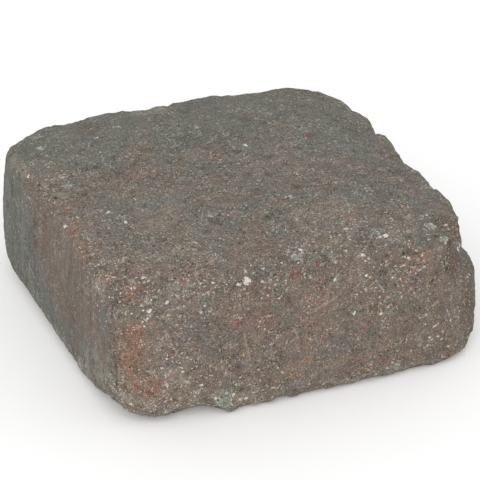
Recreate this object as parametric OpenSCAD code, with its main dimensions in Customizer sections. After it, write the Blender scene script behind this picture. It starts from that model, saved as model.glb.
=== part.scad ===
// Tumbled concrete paving stone: one cast block with rounded corners and worn edges.
// X runs along the front face, Y to the back, Z up. The origin is the middle of the bed.

/* [Block] */
// Length along the front face
block_length = 155; // [110:1:240]
// Width from the front face to the back face
block_width = 155; // [110:1:240]
// Thickness from the bed to the middle of the wearing face
block_thickness = 60; // [45:1:100]
// Rise of the wearing face from its rim to its middle
face_crown = 1.5; // [0:0.1:4]
// Depth struck off the bed to level it
bed_cut = 0.5; // [0.2:0.1:2]

/* [Corners in plan] */
// Front left corner: radius along the front face
corner_front_left_x = 45; // [6:1:50]
// Front left corner: radius along the left face
corner_front_left_y = 15; // [6:1:50]
// Front right corner: radius along the front face
corner_front_right_x = 28; // [6:1:50]
// Front right corner: radius along the right face
corner_front_right_y = 31; // [6:1:50]
// Back right corner: radius along the back face
corner_back_right_x = 37; // [6:1:50]
// Back right corner: radius along the right face
corner_back_right_y = 40; // [6:1:50]
// Back left corner: radius along the back face
corner_back_left_x = 38; // [6:1:50]
// Back left corner: radius along the left face
corner_back_left_y = 29; // [6:1:50]
// Fullness of the corners: 2 is round, more is squarer, less is bevelled
corner_fullness = 2; // [1.6:0.1:3]

/* [Top edge] */
// Depth worn off the edge at the front left corner, inwards and downwards
worn_front_left = 0.8; // [0.3:0.1:10]
// Depth worn off the edge at the front right corner
worn_front_right = 4.4; // [0.3:0.1:10]
// Depth worn off the edge at the back right corner
worn_back_right = 6; // [0.3:0.1:10]
// Depth worn off the edge at the back left corner
worn_back_left = 3.6; // [0.3:0.1:10]
// Radius of the crest at the front left corner
crest_front_left = 3.5; // [1.5:0.5:10]
// Radius of the crest at the front right corner
crest_front_right = 4; // [1.5:0.5:10]
// Radius of the crest at the back right corner
crest_back_right = 6; // [1.5:0.5:10]
// Radius of the crest at the back left corner
crest_back_left = 4.5; // [1.5:0.5:10]
// Share of a side's height that stays upright below the worn edge
upright_share = 0.25; // [0.1:0.05:0.6]
// Width of the wearing face over which it falls to the worn edge
face_fall = 35; // [15:1:45]

/* [Bottom edge] */
// Edge radius at the front left corner
bottom_front_left = 8.5; // [2:0.5:14]
// Edge radius at the front right corner
bottom_front_right = 6; // [2:0.5:14]
// Edge radius at the back right corner
bottom_back_right = 5; // [2:0.5:14]
// Edge radius at the back left corner
bottom_back_left = 12; // [2:0.5:14]

/* [Wear of the top edge] */
// Reach of a wear mark along the top edge, either way from its middle
top_mark_reach = 13; // [6:1:25]
// Low run of the right edge: distance from the front face
right_low_at = 50; // [0:1:240]
// Low run of the right edge: reach either way
right_low_reach = 40; // [10:1:60]
// Low run of the right edge: added depth
right_low = 1.2; // [0:0.1:4]
// Rubbed place on the right edge: distance from the front face
right_rub_at = 120; // [0:1:240]
// Rubbed place on the right edge: added depth
right_rub = 0.6; // [0:0.1:4]
// Hollow in the back edge: distance from the right face
back_hollow_at = 36; // [0:1:240]
// Hollow in the back edge: added depth
back_hollow = 1; // [0:0.1:4]
// Keen run of the left edge: distance from the back face
left_keen_at = 80; // [0:1:240]
// Keen run of the left edge: reach either way
left_keen_reach = 45; // [10:1:60]
// Keen run of the left edge: depth spared
left_keen = 8; // [0:0.5:12]
// Keen run of the left edge: radius spared at the crest
left_keen_crest = 1.5; // [0:0.1:4]
// Keen run of the front edge: distance from the left face
front_keen_at = 70; // [0:1:240]
// Keen run of the front edge: reach either way
front_keen_reach = 45; // [10:1:60]
// Keen run of the front edge: depth spared
front_keen = 2.4; // [0:0.1:4]
// Softened run of the front edge: distance from the left face
front_soft_at = 28; // [0:1:240]
// Softened run of the front edge: reach either way
front_soft_reach = 24; // [10:1:60]
// Softened run of the front edge: added radius of the crest
front_soft = 2; // [0:0.5:10]

/* [Bites and scallops] */
// Depth of the bites that tumbling took out of the top edge
bite_depth = 1.2; // [0:0.1:3]
// Number of bites round the stone
bite_count = 27; // [9:1:40]
// First scallop in the left face: distance from the back face
scallop_at = 52.5; // [0:0.5:240]
// Spacing of the scallops
scallop_spacing = 20; // [10:0.5:40]
// Number of scallops
scallop_count = 3; // [1:1:6]
// Reach of a scallop along the edge, either way from its middle
scallop_reach = 7.5; // [3:0.5:15]
// Depth of a scallop at the edge; it runs out down the wall
scallop_depth = 3.2; // [0:0.1:6]

/* [Knocked-off flats] */
// Flat on the front left corner: distance from the front face to where it begins on the left edge
corner_flat_at = 20.5; // [5:0.5:40]
// Flat on the front left corner: depth below the wearing face there
corner_flat_drop = 3; // [1:0.5:12]
// Flat on the front left corner: way that it faces, in degrees round from +X
corner_flat_turn = 236; // [215:1:255]
// Flat on the front left corner: way that it faces, in degrees up
corner_flat_tilt = 37.5; // [20:0.5:60]
// Flat on the front left corner: height that it ends at, below the wearing face
corner_flat_end = 22; // [12:1:30]
// Flat on the left of the front edge: distance from the left face
left_flat_at = 17.5; // [5:0.5:60]
// Flat on the left of the front edge: depth below the wearing face there
left_flat_drop = 8; // [2:0.5:14]
// Flat on the left of the front edge: way that it faces, in degrees round from +X
left_flat_turn = 256; // [245:1:270]
// Flat on the left of the front edge: way that it faces, in degrees up
left_flat_tilt = 61; // [45:0.5:75]
// Flat on the right of the front edge: distance from the right face
right_flat_at = 42.5; // [5:0.5:80]
// Flat on the right of the front edge: depth below the wearing face there
right_flat_drop = 10; // [2:0.5:14]
// Flat on the right of the front edge: way that it faces, in degrees round from +X
right_flat_turn = 288; // [270:1:300]
// Flat on the right of the front edge: way that it faces, in degrees up
right_flat_tilt = 50; // [40:0.5:75]
// Notch in the front right corner: depth in from the right face
notch_in_x = 9; // [2:0.1:15]
// Notch in the front right corner: distance from the front face
notch_in_y = 20; // [5:0.5:40]
// Notch in the front right corner: way that it faces, in degrees round from +X
notch_turn = -22.5; // [-60:0.5:0]
// Notch in the front right corner: height of its lower end, below the wearing face
notch_end = 30; // [10:1:35]

/* [Wear of the bottom edge] */
// Reach of a wear mark along the bottom edge, either way from its middle
bottom_mark_reach = 12; // [6:1:25]
// Chipped place in the front edge: distance from the left face
front_chip_at = 28; // [0:1:240]
// Chipped place in the front edge: added edge radius
front_chip = 7.5; // [0:0.5:12]
// Worn end of the left edge: distance from the back face
left_worn_at = 10; // [0:1:240]
// Worn end of the left edge: added edge radius
left_worn = 20; // [0:0.5:20]
// Chipped place in the left edge: distance from the back face
left_chip_at = 140; // [0:1:240]
// Chipped place in the left edge: added edge radius
left_chip = 9; // [0:0.5:14]
// Chipped place in the right edge: distance from the front face
right_chip_at = 22; // [0:1:240]
// Chipped place in the right edge: added edge radius
right_chip = 3; // [0:0.5:14]

/* [Hidden] */
colour = [0.475, 0.445, 0.410];

// Steps round a corner, along a side, up a wall, across the crest, down the face to the edge, and over the face
arc_steps = 12;
side_steps = 20;
bottom_steps = 6;
wall_steps = 10;
crest_steps = 6;
fall_steps = 6;
face_steps = 3;

half = [block_length / 2, block_width / 2];

// Corners run from the front left counterclockwise, and so do the sides, from the front
signs = [[-1, -1], [1, -1], [1, 1], [-1, 1]];
corner_radii = [
    [corner_front_left_x, corner_front_left_y],
    [corner_front_right_x, corner_front_right_y],
    [corner_back_right_x, corner_back_right_y],
    [corner_back_left_x, corner_back_left_y],
];
worn = [worn_front_left, worn_front_right, worn_back_right, worn_back_left];
crest = [crest_front_left, crest_front_right, crest_back_right, crest_back_left];
bottom_radii = [bottom_front_left, bottom_front_right, bottom_back_right, bottom_back_left];
front = 0;
right = 1;
back = 2;
left = 3;

// Wear marks: side, distance along it, reach, added depth or radius
top_marks = [
    [right, right_low_at, right_low_reach, right_low],
    [right, right_rub_at, top_mark_reach, right_rub],
    [back, back_hollow_at, top_mark_reach, back_hollow],
    [left, left_keen_at, left_keen_reach, -left_keen],
    [front, front_keen_at, front_keen_reach, -front_keen],
];
scallops = [for (i = [0 : scallop_count - 1]) [left, scallop_at + i * scallop_spacing, scallop_reach, scallop_depth]];
crest_marks = [
    [front, front_soft_at, front_soft_reach, front_soft],
    [left, left_keen_at, left_keen_reach, -left_keen_crest],
];
bottom_marks = [
    [front, front_chip_at, bottom_mark_reach, front_chip],
    [left, left_worn_at, bottom_mark_reach, left_worn],
    [left, left_chip_at, bottom_mark_reach, left_chip],
    [right, right_chip_at, bottom_mark_reach, right_chip],
];

// Shares of the thickness that a worn depth, a crest and a bottom edge may take, so that a wall stays between them
worn_share = 0.2;
crest_share = 0.25;
bottom_share = 0.34;
least_worn = 0.3;
least_radius = 1.5;

function total(v) = v * [for (x = v) 1];

// Sine and cosine of a rounding: raised to a power that fills it out or bevels it
function full(v, fullness) = sign(v) * pow(abs(v), 2 / fullness);

// Point of a corner's arc at an angle
function on_corner(i, a) =
    let (
        rx = corner_radii[i].x,
        ry = corner_radii[i].y,
        u = full(cos(a), corner_fullness),
        v = full(sin(a), corner_fullness)
    )
    [signs[i].x * (half.x - rx) + rx * u, signs[i].y * (half.y - ry) + ry * v];

// Arc of one corner and the straight side that follows it
function corner_and_side(i) =
    let (
        start = 180 + 90 * i,
        p = on_corner(i, start + 90),
        q = on_corner((i + 1) % 4, start + 90)
    )
    concat(
        [for (k = [0 : arc_steps]) on_corner(i, start + 90 * k / arc_steps)],
        [for (k = [1 : side_steps - 1]) p + (q - p) * k / side_steps]
    );

outline = [for (i = [0 : 3]) each corner_and_side(i)];
count = len(outline);

// Four corner values blended over the plan
function blend(v, p) =
    let (
        tx = p.x / block_length + 0.5,
        ty = p.y / block_width + 0.5,
        low = v[front] + (v[right] - v[front]) * tx,
        high = v[left] + (v[back] - v[left]) * tx
    )
    low + (high - low) * ty;

// Point of a side at a distance from the end where the side begins
function on_side(side, at) =
    side == front ? [at - half.x, -half.y] :
    side == right ? [half.x, at - half.y] :
    side == back ? [half.x - at, half.y] :
    [-half.x, half.y - at];

// Sum of the marks at a point, each falling off as a bell curve
function wear(p, marks) =
    total([for (m = marks) m[3] * exp(-pow(norm(p - on_side(m[0], m[1])) / m[2], 2))]);

// Held above a least value by a soft curve
function soft_least(v, least) = let (over = v - least) least + (over + sqrt(over * over + 0.5)) / 2;
function edge_size(v, least, most) = min(soft_least(v, least), most);

// Bites: the upper half of a sine of the angle, its phase and its depth swaying round the stone, fewer to the back
function bite(p) =
    let (turn = atan2(p.y, p.x))
    bite_depth * max(0, sin(bite_count * turn + 60 * sin(3 * turn))) * (0.6 + 0.4 * sin(5 * turn + 30))
        * (0.6 - 0.8 * p.y / block_width);

top_w = [for (p = outline)
    edge_size(blend(worn, p) + wear(p, top_marks), least_worn, worn_share * block_thickness) + bite(p)];
cut_w = [for (p = outline) wear(p, scallops)];
crest_r = [for (p = outline)
    edge_size(blend(crest, p) + wear(p, crest_marks), least_radius, crest_share * block_thickness)];
bottom_r = [for (p = outline)
    edge_size(blend(bottom_radii, p) + wear(p, bottom_marks), least_radius, bottom_share * block_thickness)];

// Outline drawn in by a distance, point for point
function drawn_in(k, inset) =
    [outline[k].x * (1 - inset / half.x), outline[k].y * (1 - inset / half.y)];

// Height of the wearing face at a share of the way out to the side
function face_height(share) = block_thickness - face_crown * share * share;
function out_share(inset) = 1 - 2 * inset / (half.x + half.y);

function bottom_point(k, a) =
    let (inset = bottom_r[k] * (1 - sin(a)))
    concat(drawn_in(k, inset), bottom_r[k] * (1 - cos(a)) - bed_cut);

// Height where the crest begins, and where the wall begins to lean towards it
function crest_start(k) = face_height(out_share(top_w[k] + crest_r[k])) - top_w[k] - crest_r[k];
function lean_start(k) =
    let (low = bottom_r[k] - bed_cut)
    low + upright_share * (crest_start(k) - low);

// Wall: upright, then drawn in by the worn depth and the scallops times the square of the way up
function wall_point(k, t) =
    concat(drawn_in(k, (top_w[k] + cut_w[k]) * t * t), lean_start(k) + (crest_start(k) - lean_start(k)) * t);

function crest_point(k, a) =
    concat(drawn_in(k, top_w[k] + cut_w[k] + crest_r[k] * (1 - cos(a))), crest_start(k) + crest_r[k] * sin(a));

// Wearing face: falls by the worn depth towards the crest
function fall_width(k) = min(face_fall, 0.7 * (min(half.x, half.y) - top_w[k] - crest_r[k]));
function fall_point(k, t) =
    let (inset = top_w[k] + crest_r[k] + fall_width(k) * t)
    concat(drawn_in(k, inset + cut_w[k] * (1 - t)), face_height(out_share(inset)) - top_w[k] * (1 - t) * (1 - t));
function face_point(k, share) =
    let (inset = top_w[k] + crest_r[k] + fall_width(k))
    concat(drawn_in(k, inset) * share, face_height(out_share(inset) * share));

// Knocked-off flats: point, way that it faces, height that it ends at, how steeply it ends there
function toward(turn, tilt) = [cos(turn) * cos(tilt), sin(turn) * cos(tilt), sin(tilt)];
knocks = [
    [[-half.x + 0.5, -half.y + corner_flat_at, block_thickness - corner_flat_drop],
        toward(corner_flat_turn, corner_flat_tilt), block_thickness - corner_flat_end, 0.9],
    [[half.x - notch_in_x, -half.y + notch_in_y, block_thickness],
        toward(notch_turn, 0), block_thickness - notch_end, 0.9],
    [[half.x - right_flat_at, -half.y, block_thickness - right_flat_drop],
        toward(right_flat_turn, right_flat_tilt), 0, 1],
    [[-half.x + left_flat_at, -half.y + 2.5, block_thickness - left_flat_drop],
        toward(left_flat_turn, left_flat_tilt), 0, 1],
];
function pushed_back(p, k) = p - max(0, min((p - k[0]) * k[1], k[3] * (p.z - k[2]))) * k[1];
function knocked(p, i = 0) = i == len(knocks) ? p : knocked(pushed_back(p, knocks[i]), i + 1);

rings = concat(
    [for (j = [0 : bottom_steps]) [for (k = [0 : count - 1]) bottom_point(k, 90 * j / bottom_steps)]],
    [for (j = [0 : wall_steps - 1]) [for (k = [0 : count - 1]) knocked(wall_point(k, j / wall_steps))]],
    [for (j = [0 : crest_steps]) [for (k = [0 : count - 1]) knocked(crest_point(k, 90 * j / crest_steps))]],
    [for (j = [1 : fall_steps]) [for (k = [0 : count - 1]) knocked(fall_point(k, j / fall_steps))]],
    [for (j = [1 : face_steps - 1]) [for (k = [0 : count - 1]) face_point(k, 1 - j / face_steps)]]
);
last = len(rings) - 1;
bed_middle = (last + 1) * count;
face_middle = bed_middle + 1;

points = concat(
    [for (ring = rings) each ring],
    [[0, 0, -bed_cut], [0, 0, block_thickness]]
);
faces = concat(
    [for (k = [0 : count - 1]) [bed_middle, k, (k + 1) % count]],
    [for (j = [0 : last - 1], k = [0 : count - 1])
        let (a = j * count + k, b = j * count + (k + 1) % count)
        each [[a, a + count, b + count], [a, b + count, b]]],
    [for (k = [0 : count - 1]) [face_middle, last * count + (k + 1) % count, last * count + k]]
);

module paving_stone()
    color(colour)
    difference() {
        polyhedron(points, faces);
        translate([-block_length, -block_width, -block_thickness])
            cube([2 * block_length, 2 * block_width, block_thickness]);
    }

paving_stone();
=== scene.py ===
import math
import bpy
import numpy as np
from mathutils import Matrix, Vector


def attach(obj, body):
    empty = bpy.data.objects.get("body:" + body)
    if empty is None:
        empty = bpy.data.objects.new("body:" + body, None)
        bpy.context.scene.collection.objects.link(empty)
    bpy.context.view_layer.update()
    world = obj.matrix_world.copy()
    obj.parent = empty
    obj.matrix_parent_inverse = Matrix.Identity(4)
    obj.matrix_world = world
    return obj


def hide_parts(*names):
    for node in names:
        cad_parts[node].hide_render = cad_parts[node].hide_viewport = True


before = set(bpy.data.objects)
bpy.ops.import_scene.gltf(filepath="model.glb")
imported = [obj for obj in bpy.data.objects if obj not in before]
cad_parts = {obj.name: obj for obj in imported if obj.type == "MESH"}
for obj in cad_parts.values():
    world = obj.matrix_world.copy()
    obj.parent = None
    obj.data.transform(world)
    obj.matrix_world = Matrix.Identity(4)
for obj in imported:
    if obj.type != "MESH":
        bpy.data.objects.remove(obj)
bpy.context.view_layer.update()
millimetre = 0.001  # metres
print("frame loaded")

# Camera: level, seen from the front left and above; its numbers are meant for an image of 480 x 480
shot = {
    "azimuth": -22.8,  # degrees, 0 looks along +Y
    "elevation": 30.0,  # degrees above the floor
    "distance": 1.2,  # metres from the target
    "target": (-0.0005, -0.0057, 0.030),
    "lens": 232.3,  # mm
    "sensor": 36.0,  # mm
    "farEnd": 20.0,  # metres that it sees
}


# An object of some data, put into the scene
def putIn(name, data):
    made = bpy.data.objects.new(name, data)
    bpy.context.scene.collection.objects.link(made)
    return made


# The camera stands off its target by the distance, along a way given by two angles, and looks back down it
def addCamera():
    az = math.radians(shot["azimuth"])
    el = math.radians(shot["elevation"])
    away = Vector((math.sin(az) * math.cos(el), -math.cos(az) * math.cos(el), math.sin(el)))
    data = bpy.data.cameras.new("photoCamera")
    data.sensor_width = shot["sensor"]
    data.lens = shot["lens"]
    data.clip_end = shot["farEnd"]
    camera = putIn("photoCamera", data)
    camera.location = Vector(shot["target"]) + away * shot["distance"]
    camera.rotation_euler = away.to_track_quat("Z", "Y").to_euler()
    bpy.context.scene.camera = camera


addCamera()
print("camera placed")

# The stone, in mm: corners run from the front left counterclockwise, sides from the front
stone = {
    "length": 155.0,
    "width": 155.0,
    "thickness": 60.0,
    "crown": 1.5,  # rise of the wearing face to its middle
    "bedCut": 0.5,  # struck off the bed
    "cornerRadii": ((45, 15), (28, 31), (37, 40), (38, 29)),  # along X and along Y
    "cornerFullness": 2.0,
    "wornDepth": (0.8, 4.4, 6.0, 3.6),  # taken off the top edge, inwards and downwards
    "crestRadii": (3.5, 4.0, 6.0, 4.5),
    "bottomRadii": (8.5, 6.0, 5.0, 12.0),
    "uprightShare": 0.25,  # share of a wall that stays upright
    "faceFall": 35.0,  # width over which the face falls to its edge
    # marks: side, distance along it, reach, added depth or radius
    "topMarks": ((1, 50, 40, 1.2), (1, 120, 13, 0.6), (2, 36, 13, 1.0), (3, 80, 45, -8.0),
                 (0, 70, 45, -2.4)),
    "crestMarks": ((0, 28, 24, 2.0), (3, 80, 45, -1.5)),
    "bottomMarks": ((0, 28, 12, 7.5), (3, 10, 12, 20.0), (3, 140, 12, 9.0), (1, 22, 12, 3.0)),
    "biteDepth": 1.2,  # bites round the top edge
    "biteCount": 27,
    "biteSway": (60.0, 3),  # their spacing sways by so many degrees, so many times round the stone
    "biteFade": (0.6, 0.4, 30.0, 5),  # their depth: mean, swing, begun at so many degrees, times round
    "biteBack": (0.6, 0.8),  # and how it falls to the back: at the middle, over the whole width
    # scallops drawn into the left face: place of the first, spacing, number, reach, depth
    "leftScallops": (52.5, 20.0, 3, 7.5, 3.2),
    # small scallops broken out of the top and the bottom edge
    "topScallops": ((1, 72, 6, 1.2), (1, 99, 5, 0.9), (0, 52, 6, 1.0), (0, 108, 6, 1.2), (2, 92, 8, 0.9),
                    (2, 122, 8, 0.9)),
    "bottomScallops": ((0, 41, 5, -2.5), (0, 33, 4, 1.5), (0, 64, 5, 1.0), (3, 120, 5, 1.6),
                       (1, 30, 4, 2.0)),
    "looseScallops": 44,  # more of them, scattered by chance
    "looseEnds": (8, 147),  # between these distances along a side
    "looseReach": (2.5, 7.0),
    "looseDepth": 0.7,
    "looseSpread": (-0.25, 1.0),  # of the depth; some stand out a little
    "looseTop": 61,  # seeds
    "looseBottom": 62,
    "leastWorn": 0.3,
    "leastDeep": 0.2,  # once bites and scallops are in
    "softLeast": 0.5,  # how softly a size comes down to its least, in square mm
    "leastRadius": 1.5,
    "wornShare": 0.2,  # each is at most this share of the thickness
    "crestShare": 0.25,
    "bottomShare": 0.34,
    "lowBand": 4.0,  # wear of the bottom edge reaches so far up the wall
    "highBand": 6.0,  # wear of the top edge reaches so far down the wall and in over the face
    "arcSteps": 80,  # points along half a corner
    "sideCells": 172,  # grid cells along one side of the plan
    "bottomRows": 14,
    "wallRows": 40,
    "crestRows": 10,
    "bedRings": 6,
}
halfPlan = np.array([stone["length"] / 2, stone["width"] / 2])


# Sine or cosine of a rounding raised to 2 over its fullness: 2 is round, more is squarer, less is bevelled
def filled(v, fullness):
    return np.sign(v) * np.abs(v) ** (2.0 / fullness)


# A corner's arc: centre plus radius times the filled cosine and sine of the angle
def cornerArc(corner, fromDeg, toDeg, steps):
    signs = np.array(((-1, -1), (1, -1), (1, 1), (-1, 1))[corner])
    radii = np.array(stone["cornerRadii"][corner], float)
    a = np.radians(180 + 90 * corner + np.linspace(fromDeg, toDeg, steps))
    unit = np.stack([np.cos(a), np.sin(a)], -1)
    return signs * (halfPlan - radii) + radii * filled(unit, stone["cornerFullness"])


# One side of the plan: half a corner, the straight, half the next corner, at equal steps of length
def planSide(side, cells):
    steps = stone["arcSteps"]
    run = np.concatenate([cornerArc(side, 45, 90, steps), cornerArc((side + 1) % 4, 0, 45, steps)])
    gone = np.concatenate([[0.0], np.cumsum(np.hypot(*np.diff(run, axis=0).T))])
    at = np.linspace(0, gone[-1], cells + 1)[:-1]
    return np.stack([np.interp(at, gone, run[:, 0]), np.interp(at, gone, run[:, 1])], -1)


# Four corner values blended over the plan, straight in X and in Y
def blended(values, xy):
    tx = xy[:, 0] / stone["length"] + 0.5
    ty = xy[:, 1] / stone["width"] + 0.5
    near = values[0] + (values[1] - values[0]) * tx
    far = values[3] + (values[2] - values[3]) * tx
    return near + (far - near) * ty


# Point of a side at a distance from where the side begins
def onSide(side, at):
    hx, hy = halfPlan
    return np.array(((at - hx, -hy), (hx, at - hy), (hx - at, hy), (-hx, hy - at))[side])


# Sum of wear marks: each is its added radius times a bell curve of the distance over its reach
def worn(marks, xy):
    total = np.zeros(len(xy))
    for side, at, reach, added in marks:
        away = np.linalg.norm(xy - onSide(side, at), axis=1)
        total += added * np.exp(-(away / reach) ** 2)
    return total


# Height of the wearing face: thickness less the crown times the squared share of the way out
def faceHeight(share):
    return stone["thickness"] - stone["crown"] * share ** 2


# Edge sizes along the plan: corner values blended, plus marks, held between a least and a share of the
# thickness; the least is soft: half of the excess plus the root of its square and a little
def edgeSize(values, marks, least, share, plan):
    over = blended(values, plan) + worn(marks, plan) - least
    soft = 0.5 * (over + np.sqrt(over ** 2 + stone["softLeast"]))
    return np.minimum(least + soft, share * stone["thickness"])


# Bites round the edge: depth times the upper half of a sine of the angle, its phase and depth swaying round
# the stone, and shallower to the back
def bites(plan):
    turn = np.arctan2(plan[:, 1], plan[:, 0])
    sway, often = stone["biteSway"]
    wave = np.sin(stone["biteCount"] * turn + math.radians(sway) * np.sin(often * turn))
    mean, swing, begin, often = stone["biteFade"]
    fade = mean + swing * np.sin(often * turn + math.radians(begin))
    middle, fall = stone["biteBack"]
    fade *= middle - fall * plan[:, 1] / stone["width"]
    return stone["biteDepth"] * np.maximum(wave, 0) * fade


# Scallops at even steps along the left face, as wear marks
def leftScallops():
    first, step, count, reach, depth = stone["leftScallops"]
    return [(3, first + step * i, reach, depth) for i in range(count)]


# Scallops scattered round the four sides: each with its own place, reach and depth
def looseScallops(seed):
    rng = np.random.default_rng(seed)
    count = stone["looseScallops"]
    sides = np.arange(count) % 4
    places = rng.uniform(*stone["looseEnds"], count)
    reaches = rng.uniform(*stone["looseReach"], count)
    depths = stone["looseDepth"] * rng.uniform(*stone["looseSpread"], count)
    return list(zip(sides, places, reaches, depths))


# Smooth stone on a grid: rows over the plan's points up the bottom edge, the wall and the crest, a square
# grid over the wearing face and rings over the bed; gives points, quads, fan triangles, two masks
def smoothStone():
    n = stone["sideCells"]
    plan = np.concatenate([planSide(i, n) for i in range(4)])
    around = len(plan)
    meanHalf = halfPlan.mean()
    least = stone["leastRadius"]
    deep = edgeSize(stone["wornDepth"], stone["topMarks"], stone["leastWorn"], stone["wornShare"], plan)
    deep += bites(plan) + worn(stone["topScallops"], plan) + worn(looseScallops(stone["looseTop"]), plan)
    deep = np.maximum(deep, stone["leastDeep"])
    cut = worn(leftScallops(), plan)
    crest = edgeSize(stone["crestRadii"], stone["crestMarks"], least, stone["crestShare"], plan)
    low = edgeSize(stone["bottomRadii"], stone["bottomMarks"], least, stone["bottomShare"], plan)
    low += worn(stone["bottomScallops"], plan) + worn(looseScallops(stone["looseBottom"]), plan)
    low = np.maximum(low, least)

    # the plan drawn in by an inset, at a height
    def ring(inset, height):
        xy = plan * (1 - inset[..., None] / halfPlan)
        return np.concatenate([xy, height[..., None]], -1)

    # bottom edge: quarter circle from where the bed cuts it
    start = np.arccos(1 - stone["bedCut"] / low)
    a = start + (math.pi / 2 - start) * np.linspace(0, 1, stone["bottomRows"] + 1)[:, None]
    lowRows = ring(low * (1 - np.sin(a)), low * (1 - np.cos(a)) - stone["bedCut"])
    lowEdge = np.ones(a.shape)
    # wall: upright, then drawn in by the worn depth and the scallops times the square of the way up
    zLow = low - stone["bedCut"]
    zCrest = faceHeight(1 - (deep + crest) / meanHalf) - deep - crest
    t = np.linspace(0, 1, stone["wallRows"] + 1)[1:, None] * np.ones(around)
    lean = np.clip((t - stone["uprightShare"]) / (1 - stone["uprightShare"]), 0, 1)
    z = zLow + (zCrest - zLow) * t
    wall = ring((deep + cut) * lean ** 2, z)
    wallEdge = np.exp(-((zCrest - z) / stone["highBand"]) ** 2)
    wallEdge += np.exp(-((z - zLow) / stone["lowBand"]) ** 2)
    # crest: quarter circle from the wall to the wearing face
    a = (math.pi / 2) * np.linspace(0, 1, stone["crestRows"] + 1)[1:, None] * np.ones(around)
    top = ring(deep + cut + crest * (1 - np.cos(a)), zCrest + crest * np.sin(a))
    rows = np.concatenate([lowRows, wall, top])
    edge = np.concatenate([lowEdge, wallEdge, np.ones(a.shape)])
    last = len(rows) - 1

    # wearing face: square grid, drawn from the rim's outline to the middle, falling to the worn edge
    grid = np.linspace(-1, 1, n + 1)
    u, v = np.meshgrid(grid, grid, indexing="ij")
    hair = 1e-9
    rho = np.maximum(np.maximum(np.abs(u), np.abs(v)), hair)
    uu, vv = u / rho, v / rho
    at = np.where(vv <= -1 + hair, (uu + 1) / 2,
         np.where(uu >= 1 - hair, 1 + (vv + 1) / 2,
         np.where(vv >= 1 - hair, 2 + (1 - uu) / 2, 3 + (1 - vv) / 2))) * n
    k = np.arange(around + 1)

    # values of the plan's points, read off at each grid point's way round the rim
    def onRim(values):
        return np.interp(at, k, np.concatenate([values, values[:1]]))

    rimX, rimY = onRim(rows[last][:, 0]), onRim(rows[last][:, 1])
    rimDeep, rimInset = onRim(deep), onRim(deep + crest)
    inward = (1 - rho) * (meanHalf - rimInset)
    fall = rimDeep * np.clip(1 - inward / stone["faceFall"], 0, 1) ** 2
    face = np.stack([rimX * rho, rimY * rho, faceHeight((1 - rimInset / meanHalf) * rho) - fall], -1)
    index = np.full((n + 1, n + 1), -1)
    steps = np.arange(n)
    index[steps, 0] = last * around + steps
    index[n, steps] = last * around + n + steps
    index[n - steps, n] = last * around + 2 * n + steps
    index[0, n - steps] = last * around + 3 * n + steps
    inner = index < 0
    index[inner] = rows.shape[0] * around + np.arange(inner.sum())
    facePoints = face[inner]
    faceEdge = np.exp(-(inward / stone["highBand"]) ** 2)[inner]

    # bed: rings drawn in to a middle point
    first = rows.shape[0] * around + len(facePoints)
    share = 1 - np.arange(1, stone["bedRings"])[:, None, None] / stone["bedRings"]
    bed = np.concatenate([rows[0][None, :, :2] * share, np.zeros((len(share), around, 1))], -1)
    bedRows = first + np.arange(len(share) * around).reshape(-1, around)
    bedIndex = np.concatenate([np.arange(around)[None], bedRows])
    middle = first + len(share) * around

    points = np.concatenate([rows.reshape(-1, 3), facePoints, bed.reshape(-1, 3), [[0.0, 0.0, 0.0]]])
    rowIndex = np.arange(rows.shape[0] * around).reshape(-1, around)

    # quads between two rings, each from a point and the next one round
    def stitched(lower, upper):
        return np.stack([lower, np.roll(lower, -1, 1), np.roll(upper, -1, 1), upper], -1).reshape(-1, 4)

    quads = np.concatenate([
        stitched(rowIndex[:-1], rowIndex[1:]),
        np.stack([index[:-1, :-1], index[1:, :-1], index[1:, 1:], index[:-1, 1:]], -1).reshape(-1, 4),
        stitched(bedIndex[1:], bedIndex[:-1]),
    ])
    fan = np.stack([bedIndex[-1], np.full(around, middle), np.roll(bedIndex[-1], -1)], -1)

    # corner mask: the plan's normal turned half way between two sides
    along = np.roll(plan, -1, 0) - np.roll(plan, 1, 0)
    along /= np.linalg.norm(along, axis=1)[:, None]
    corner = np.tile((2 * along[:, 0] * along[:, 1]) ** 2, (rows.shape[0], 1))
    rest = bed.shape[0] * around + 1
    edge = np.concatenate([np.clip(edge, 0, 1).ravel(), faceEdge, np.zeros(rest)])
    corner = np.concatenate([corner.ravel(), np.zeros(len(facePoints) + rest)])
    return points, quads, fan, edge, corner


# Point normals: sum of the cross products of the diagonals of the quads round each point
def pointNormals(points, quads):
    p = points[quads]
    cross = np.cross(p[:, 2] - p[:, 0], p[:, 3] - p[:, 1])
    total = np.zeros_like(points)
    for i in range(4):
        np.add.at(total, quads[:, i], cross)
    length = np.linalg.norm(total, axis=1)[:, None]
    return total / np.maximum(length, 1e-12)


lattice = 32  # cells each way after which a random field repeats


# Random field from -1 to 1: seeded values on a lattice, blended by the quintic curve, in a turned frame
def field(points, size, seed):
    rng = np.random.default_rng(seed)
    table = rng.uniform(-1, 1, (lattice, lattice, lattice))
    turn, _ = np.linalg.qr(rng.normal(size=(3, 3)))
    q = points @ turn.T / size + rng.uniform(0, lattice, 3)
    base = np.floor(q).astype(int)
    f = q - base
    w = f ** 3 * (f * (f * 6 - 15) + 10)
    out = np.zeros(len(points))
    for corner in np.ndindex(2, 2, 2):
        c = np.array(corner)
        weight = np.prod(np.where(c == 1, w, 1 - w), axis=1)
        i = (base + c) % lattice
        out += weight * table[i[:, 0], i[:, 1], i[:, 2]]
    return out


# Sum of fields, each finer by half and weaker by the gain
def layered(points, size, seed, layers, gain):
    total = np.zeros(len(points))
    for i in range(layers):
        total += gain ** i * field(points, size / 2 ** i, seed + 17 * i)
    return total


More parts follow.
